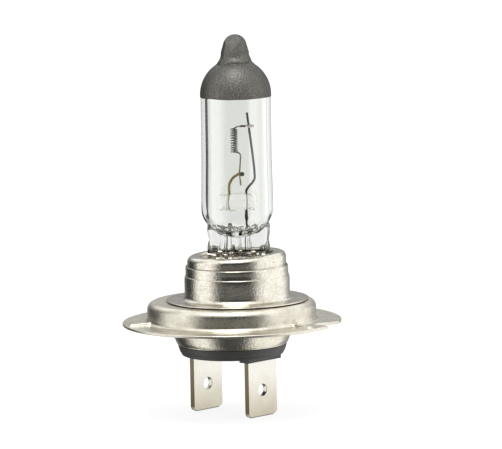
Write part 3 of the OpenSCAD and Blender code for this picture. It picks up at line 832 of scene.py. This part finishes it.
place(build_clip(), M_CLIP, "spring_steel", "pinch_clip")
lug = 0
for side, tag in ((-1, "front"), (1, "back")):
    add_leaf(f"clip_spring_{tag}", side, -2.3, 2.7,
             [(2.35, -0.1), (1.95, -0.2), (1.74, -0.7), (1.68, -2.0), (1.8, -3.2)], M_CLIP)
    add_leaf(f"clip_wall_{tag}", side, -3.7, 4.4,
             [(2.75, 0.05), (2.35, 0.12), (2.1, 0.5), (2.02, 1.15)], M_CLIP, 0.18)
    for centre, pitch in ((-3.2, 0.62), (-0.5, 0.66), (3.1, 0.6)):
        for k in range(4):
            lug += 1
            x = centre + pitch * (k - 1.5) + random.uniform(-0.1, 0.1)
            tall = random.uniform(0.9, 1.85)
            half = random.uniform(0.3, 0.6) / 2
            curl = random.uniform(0.15, 0.5)
            lean = random.uniform(-0.5, 0.5)
            path = [(2.45, 0.1), (2.2, tall * 0.45), (2.2, tall * 0.8), (2.25 + curl * 0.5, tall),
                    (2.3 + curl, tall * 0.82), (2.25 + curl, tall * 0.55)]
            material = M_LUG if k % 2 else M_CLIP
            add_leaf(f"clip_lug_{lug}", side, x - half, x + half, path, material, 0.2, lean)

# ---- locating ring

RING_R, RING_H, RING_T = 12.8, 2.95, 0.4
RING_CORNER, RING_FOOT, RING_HOLE = 1.1, 0.62, 9.0
LIP = 0.14          # rounding of the flange's rim
BOSS_GAP = 0.35     # the bosses end this far inside the rim
BOSSES = (0, 120, 240)
NOTCH = (13.0, 16.0, 30.0, 14.1)    # start, end of its root and end, in degrees, and its radius


def rim_radius(deg):
    """Flange rim radius, pulled in at the key notch."""
    start, root_end, end, root = NOTCH
    if not start < deg < end:
        return FLANGE_R
    if deg <= root_end:
        return root
    b = Vector((root * math.cos(math.radians(root_end)), root * math.sin(math.radians(root_end))))
    c = Vector((FLANGE_R * math.cos(math.radians(end)), FLANGE_R * math.sin(math.radians(end))))
    d = Vector((math.cos(math.radians(deg)), math.sin(math.radians(deg))))
    e = c - b
    on_ramp = (b.x * e.y - b.y * e.x) / (d.x * e.y - d.y * e.x)
    return min(max(on_ramp, root), FLANGE_R)


def boss_height(r, deg):
    """Pressed radial ribs: flat on top, soft at the sides, fading just inside the rim."""
    best = 0.0
    for centre in BOSSES:
        off = (deg - centre + 180) % 360 - 180
        if abs(off) > 12:
            continue
        across = abs(r * math.sin(math.radians(off)))
        along = smoothstep(FLANGE_R - BOSS_GAP, FLANGE_R - BOSS_GAP - 0.35, r)
        best = max(best, BOSS_H * (1 - smoothstep(0.3, 0.56, across)) * along)
    return best


def ring_degrees():
    """Where the ring is cut round: every 2 degrees, and closer at the bosses and the notch."""
    near_bosses = [centre + off for centre in BOSSES for off in spread(-5, 4.8, 0.2)]
    near_notch = spread(12, 31, 0.5) + [12.97, 13.03, 29.97, 30.03]
    return sorted({round(deg % 360, 3) for deg in spread(0, 358, 2) + near_bosses + near_notch})


def ring_section(rim):
    """Closed section of the ring: down its outside, out to the rim and back underneath."""
    corner = (RING_R - RING_CORNER, RING_H - RING_CORNER)
    start, wall = RING_R + RING_FOOT, RING_R - RING_T
    end = rim - LIP
    steps = 16
    return ([(RING_HOLE, RING_H - RING_T), (RING_HOLE, RING_H - 0.1), (RING_HOLE + 0.1, RING_H)]
            + [(9.6, RING_H), (10.6, RING_H), (11.2, RING_H - 0.01)]
            + arc(*corner, RING_CORNER, 84, 0, 14)
            + [(RING_R, 1.3), (RING_R, 0.8)]
            + arc(start, RING_FOOT, RING_FOOT, 180, 270, 8)
            + [(start + (end - start) * i / steps, 0.0) for i in range(1, steps + 1)]
            + arc(end, -LIP, LIP, 90, 0, 4)[1:]
            + arc(end, LIP - RING_T, LIP, 0, -90, 4)
            + [(end + (wall + 0.5 - end) * i / steps, -RING_T) for i in range(1, steps)]
            + [(wall, -RING_T), (wall, 0.6), (wall, 1.3)]
            + arc(*corner, RING_CORNER - RING_T, 0, 90, 8)
            + [(10.6, RING_H - RING_T)])


def build_ring():
    """Pressed ring with a key notch and three bosses, its flange not quite flat."""
    degrees = ring_degrees()
    foot_top = RING_FOOT + 0.06
    verts, faces = [], []
    for deg in degrees:
        a = math.radians(deg)
        section = ring_section(rim_radius(deg))
        wave = 0.02 * noise.noise(Vector((math.cos(a) * 1.4, math.sin(a) * 1.4, 2))) - 0.05
        for r, z in section:
            lift = 0.0
            if r > RING_R - 0.02 and z < foot_top:
                lift = boss_height(r, deg) * (1 - max(z, 0) / foot_top)
                if z < -0.05:
                    lift *= 0.85
            z += lift + wave * smoothstep(RING_R, FLANGE_R, r) * 2
            if lift > 0:
                z = min(z, BOSS_H)
            verts.append(on_axis(r * math.cos(a), r * math.sin(a), z))
    total, count = len(degrees), len(section)
    for k in range(total):
        m = (k + 1) % total
        for i in range(count):
            j = (i + 1) % count
            faces.append((k * count + i, m * count + i, m * count + j, k * count + j))
    return make_mesh("ring_flange", verts, faces, 42)


place(build_ring(), M_RING, "ring_steel", "locating_ring")

# ---- base shell and insulator

SHELL_R, SHELL_T, SHELL_DEPTH = 9.64, 0.4, 3.6
SHELL_END = SHELL_R - (SHELL_DEPTH - RING_T) * math.tan(math.radians(22))
SHELL_RIM = RING_R - RING_CORNER
SHELL_TOP = RING_H - RING_T - 0.01
shell_profile = ([(SHELL_R - SHELL_T + 0.02, SHELL_TOP), (SHELL_RIM, SHELL_TOP)]
                 + [(SHELL_RIM, SHELL_TOP - SHELL_T)]
                 + arc(SHELL_R + 0.4, SHELL_TOP - SHELL_T - 0.4, 0.4, 90, 180, 6)
                 + [(SHELL_R, 0.8), (SHELL_R, 0.1)]
                 + [(SHELL_R - 0.02, -RING_T + 0.2), (SHELL_R - 0.14, -RING_T - 0.25)]
                 + [(SHELL_R + (SHELL_END - SHELL_R) * t, -RING_T + (RING_T - SHELL_DEPTH) * t)
                    for t in (0.25, 0.5, 0.75, 0.93)]
                 + arc(SHELL_END - 0.14, -SHELL_DEPTH + 0.1, 0.12, 10, -90, 5)
                 + [(SHELL_END - SHELL_T + 0.02, -SHELL_DEPTH), (SHELL_R - SHELL_T + 0.02, -RING_T)])
shell = lathe("base_cone", shell_profile, on_axis, 200, True, pressed(0.025), 40)
place(shell, M_SHELL, "shell_steel", "base_shell")

BODY_TOP, BODY_DEPTH, BODY_END, BODY_ROUND = 1.5, 5.3, 7.8, 0.5
POCKET_R, POCKET_Z = 6.6, -2.0
body_profile = ([(0.0, POCKET_Z), (POCKET_R, POCKET_Z)]
                + [(POCKET_R, BODY_TOP - 0.1), (POCKET_R + 0.1, BODY_TOP)]
                + [(SHELL_R - SHELL_T - 0.1, BODY_TOP), (SHELL_R - SHELL_T, BODY_TOP - 0.1)]
                + [(SHELL_R - SHELL_T, -RING_T), (SHELL_END - SHELL_T, -SHELL_DEPTH - 0.01)]
                + [(SHELL_END - 0.17, -SHELL_DEPTH - 0.01), (SHELL_END - 0.08, -SHELL_DEPTH - 0.1)]
                + [(BODY_END + 0.32, -4.2), (BODY_END + 0.15, -4.7)]
                + arc(BODY_END - BODY_ROUND, BODY_ROUND - BODY_DEPTH, BODY_ROUND, 0, -90, 8)
                + [(6.0, -BODY_DEPTH), (3.0, -BODY_DEPTH), (0.0, -BODY_DEPTH)])
body = lathe("insulator", body_profile, on_axis, 180, False, pressed(0.02), 38)
place(body, M_BODY, "insulator", "insulator_body")

BLADE_X = (blade_lo.x + blade_hi.x) / 2 / MM
BLADE_HALF_W = blade_hi.y / MM
BLADE_T = (blade_hi.x - blade_lo.x) / MM
BLADE_END = blade_lo.z / MM - SEAT
BLADE_TOP, BLADE_CORNER, BLADE_BEVEL = -2.7, 0.75, 0.07
EYE_R, EYE_Z, EYE_CUTS = 0.925, BLADE_END + 4.05, 48


def rounded_block(name, lo, hi, rounding):
    """Moulded block with rounded edges, between two corners in mm over the flange."""
    verts = [on_axis(x, y, z) for x in (lo[0], hi[0]) for y in (lo[1], hi[1]) for z in (lo[2], hi[2])]
    faces = [(0, 1, 3, 2), (4, 6, 7, 5), (0, 4, 5, 1), (2, 3, 7, 6), (0, 2, 6, 4), (1, 5, 7, 3)]
    obj = make_mesh(name, verts, faces)
    bevel = obj.modifiers.new("edge", "BEVEL")
    bevel.width = rounding * MM
    bevel.segments = 3
    return obj


ROOT_HALF = Vector((0.95, BLADE_HALF_W + 0.55, 0.45))
for side, tag in ((1, "a"), (-1, "b")):
    middle = Vector((side * BLADE_X, 0, -BODY_DEPTH - 0.05))
    root = rounded_block(f"blade_root_{tag}", middle - ROOT_HALF, middle + ROOT_HALF, 0.14)
    place(root, M_BODY, "insulator")


def blade_outlines():
    """The chamfered blade and its round eye, inset so that the bevel comes out to true size."""
    hw, corner = BLADE_HALF_W, BLADE_CORNER
    half = [(hw, BLADE_TOP), (hw, BLADE_END + corner), (hw - corner * 0.25, BLADE_END + corner * 0.45),
            (hw - corner, BLADE_END)]
    shrink = (hw - BLADE_BEVEL) / hw
    inset = [(u * shrink, v + BLADE_BEVEL if v < BLADE_END + corner * 0.3 else v) for u, v in half]
    eye_r = EYE_R + BLADE_BEVEL
    eye = [(eye_r * math.cos(TAU * i / EYE_CUTS), EYE_Z + eye_r * math.sin(TAU * i / EYE_CUTS))
           for i in range(EYE_CUTS)]
    return [(-u, v) for u, v in inset] + inset[::-1], eye


def build_blade(name, side):
    """Stamped blade: chamfered corners, round eye, rolled edges and a thinned end."""
    curve = bpy.data.curves.new(name + "_outline", "CURVE")
    curve.dimensions = "2D"
    curve.fill_mode = "BOTH"
    curve.extrude = (BLADE_T / 2 - BLADE_BEVEL) * MM
    curve.bevel_depth = BLADE_BEVEL * MM
    curve.bevel_resolution = 2
    for points in blade_outlines():
        outline = curve.splines.new("POLY")
        outline.points.add(len(points) - 1)
        for p, (u, v) in zip(outline.points, points):
            p.co = (u * MM, v * MM, 0, 1)
        outline.use_cyclic_u = True
    temp = add_object(name + "_outline", curve)
    bpy.context.view_layer.update()
    mesh = bpy.data.meshes.new_from_object(temp.evaluated_get(bpy.context.evaluated_depsgraph_get()))
    bpy.data.objects.remove(temp)
    mesh.transform(Matrix(((0, 0, 1, 0), (1, 0, 0, 0), (0, 1, 0, 0), (0, 0, 0, 1))))
    bm = bmesh.new()
    bm.from_mesh(mesh)
    for over_end in (0.5, 0.25, 2.6, 5.6):
        geom = bm.verts[:] + bm.edges[:] + bm.faces[:]
        level = Vector((0, 0, BLADE_END + over_end)) * MM
        bmesh.ops.bisect_plane(bm, geom=geom, plane_co=level, plane_no=(0, 0, 1), dist=1e-7)
    bmesh.ops.remove_doubles(bm, verts=bm.verts, dist=1e-7)
    for v in bm.verts:
        drop = 1 - smoothstep(BLADE_END - 0.15, BLADE_END + 0.5, v.co.z / MM)
        v.co.x *= 1 - 0.5 * drop
        v.co.x += side * BLADE_X * MM
        v.co.z += SEAT * MM
    bmesh.ops.recalc_face_normals(bm, faces=bm.faces)
    bm.to_mesh(mesh)
    bm.free()
    mesh.set_sharp_from_angle(angle=math.radians(28))
    for poly in mesh.polygons:
        poly.use_smooth = abs(poly.normal.x) < 0.97     # the wide faces are flat
    return add_object(name, mesh)


for side, tag in ((1, "a"), (-1, "b")):
    place(build_blade(f"blade_{tag}", side), M_BLADE, "plated_contact", f"contact_blade_{tag}")
    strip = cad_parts[f"contact_strip_{tag}"]
    strip.data.materials.clear()
    strip.data.materials.append(M_STRIP)

# ---- stage, light and camera

FLOOR_Z = BLADE_END + SEAT


def stage_material(name, grey, emit):
    """Plain matt grey surface that also gives off white light of its own."""
    g = Graph(bpy.data.materials.new(name))
    g.set(Base_Color=(*grey, 1), Roughness=0.9, Specular_IOR_Level=0.0)
    g.set(Emission_Color=(1.0, 1.0, 1.0, 1), Emission_Strength=emit)
    return g.owner


def hide_from(obj, *rays):
    """Leaves a piece of the stage out of these kinds of ray."""
    for ray in rays:
        setattr(obj, f"visible_{ray}", False)


STAGE_R = 6.0       # in metres
floor_mesh = bpy.data.meshes.new("floor")
corners = [(x * STAGE_R, y * STAGE_R, FLOOR_Z * MM) for x, y in ((-1, -1), (1, -1), (1, 1), (-1, 1))]
floor_mesh.from_pydata(corners, [], [(0, 1, 2, 3)])
floor_mesh.materials.append(stage_material("floor_pale", (0.16, 0.16, 0.159), 0.87))
floor = add_object("floor", floor_mesh)
hide_from(floor, "glossy", "transmission", "shadow")

backdrop = lathe("backdrop", [(STAGE_R, -2.0), (STAGE_R, 3.0), (0.01 * MM, 6.0)],
                 lambda x, y, z: Vector((x, y, z)), 48, False)
backdrop.data.materials.append(stage_material("backdrop_pale", (0.3, 0.3, 0.3), 0.9))
hide_from(backdrop, "glossy", "transmission", "diffuse", "shadow")


def sphere_panel(name, radius, azimuth, half_width, low, high, material):
    """Part of a sphere round the lamp, centred on an azimuth, in metres and degrees."""
    cols, rows = 24, 12
    verts, faces = [], []
    for i in range(rows + 1):
        e = math.radians(low + (high - low) * i / rows)
        for k in range(cols + 1):
            a = azimuth + math.radians(half_width) * (2 * k / cols - 1)
            verts.append((radius * math.cos(e) * math.cos(a), radius * math.cos(e) * math.sin(a),
                          radius * math.sin(e)))
    for i in range(rows):
        for k in range(cols):
            p = i * (cols + 1) + k
            faces.append((p, p + 1, p + cols + 2, p + cols + 1))
    mesh = bpy.data.meshes.new(name)
    mesh.from_pydata(verts, [], faces)
    mesh.materials.append(material)
    obj = add_object(name, mesh)
    return obj


CAM_AZIMUTH = math.radians(-47)
CAM_REACH, CAM_HEIGHT = 712.45, 104.0   # in mm, from the ring's axis and over the bosses
CAM = Vector((CAM_REACH * math.cos(CAM_AZIMUTH), CAM_REACH * math.sin(CAM_AZIMUTH), CAM_HEIGHT)) * MM
LOOK = Vector((2.325, 2.178, 14.057)) * MM  # what it points at
LENS, ROLL = 340.78, 1.2    # in mm and degrees

cam_data = bpy.data.cameras.new("camera")
cam_data.sensor_width = 36
cam_data.lens = LENS
cam_data.clip_start = 0.01
cam_data.clip_end = 50
camera = add_object("camera", cam_data)
forward = (LOOK - CAM).normalized()
right = forward.cross(Vector((0, 0, 1))).normalized()
up = right.cross(forward)
roll = math.radians(ROLL)
cam_x = right * math.cos(roll) - up * math.sin(roll)
cam_y = up * math.cos(roll) + right * math.sin(roll)
turn = Matrix((cam_x, cam_y, -forward)).transposed()
camera.matrix_world = Matrix.Translation(CAM) @ turn.to_4x4()
bpy.context.scene.camera = camera

# The card is seen only through the glass.
card = sphere_panel("card_behind", 4.0, CAM_AZIMUTH + math.pi, 38, -55, 60,
                    stage_material("card_white", (0.02, 0.02, 0.02), 0.93))
hide_from(card, "camera", "glossy", "diffuse", "shadow")


def build_world():
    """Studio of soft panels: one left of the lens, one right, a pale table and a bright top.

    Places run from 0 to 1 round the horizon, where 0.5 is at the camera, and from nadir to zenith.
    """
    world = bpy.data.worlds.new("studio")
    bpy.context.scene.world = world
    g = Graph(world, "Generated")
    turn = g.node("ShaderNodeVectorRotate", rotation_type="Z_AXIS", Angle=-CAM_AZIMUTH)
    g.link(g.coord, turn.inputs["Vector"])
    x, y, z = g.axes(turn.outputs["Vector"])
    azimuth = g.calc("ADD", g.calc("DIVIDE", g.calc("ARCTAN2", y, x), TAU), 0.5)
    height = g.calc("ADD", g.calc("DIVIDE", g.calc("ARCSINE", z), math.pi), 0.5)

    def around(*stops):
        """Soft greys at degrees from the camera."""
        return g.ramp(azimuth, [(0.5 + deg / 360, grey) for deg, grey in stops], "EASE")

    def upward(*stops):
        """Soft greys from nadir to zenith."""
        return g.ramp(height, stops, "EASE")

    sides = around((-180, 0.26), (-158, 0.2), (-146, 0.03), (-114, 0.05), (-99, 1.05), (-62, 1.05),
                   (-44, 0.05), (0, 0.02), (36, 0.05), (56, 1.05), (124, 1.05), (146, 0.3), (180, 0.26))
    band = upward((0.0, 0.03), (0.1, 0.1), (0.17, 0.85), (0.25, 1.0), (0.72, 1.0), (1.0, 1.0))
    front = around((-180, 0.0), (-70, 0.0), (-45, 1.0), (45, 1.0), (70, 0.0))
    table = upward((0.0, 0.06), (0.25, 0.07), (0.4, 0.15), (0.46, 0.18), (0.5, 0.05), (0.53, 0.0))
    back = around((-180, 1.0), (-150, 1.0), (-100, 0.0), (100, 0.0), (150, 1.0), (180, 1.0))
    top = upward((0.0, 0.0), (0.51, 0.0), (0.541, 0.03), (0.6, 0.26), (0.67, 1.1), (1.0, 1.1))
    zenith = upward((0.0, 0.0), (0.62, 0.0), (0.78, 0.9), (1.0, 1.1))
    light = g.mix("LIGHTEN", g.mix("MULTIPLY", sides, band), g.mix("MULTIPLY", front, table))
    light = g.mix("LIGHTEN", light, g.mix("MULTIPLY", back, top))
    light = g.mix("LIGHTEN", light, zenith)
    background = g.tree.nodes["Background"]
    background.inputs["Strength"].default_value = 1.5
    g.link(light, background.inputs["Color"])


build_world()

KEY_TURN, KEY_RISE, KEY_REACH = -0.15, 3.2, 0.9     # radians from the camera, slope, metres
key = bpy.data.lights.new("front_key", "AREA")
key.size = 0.4
key.energy = 4.6
key_lamp = add_object("front_key", key)
key_azimuth = CAM_AZIMUTH + KEY_TURN
toward_key = Vector((math.cos(key_azimuth), math.sin(key_azimuth), KEY_RISE)).normalized()
key_lamp.location = toward_key * KEY_REACH
key_lamp.rotation_euler = toward_key.to_track_quat("Z", "Y").to_euler()
hide_from(key_lamp, "transmission", "camera")

bpy.context.scene.view_settings.view_transform = "Standard"
bpy.context.scene.view_settings.look = "None"
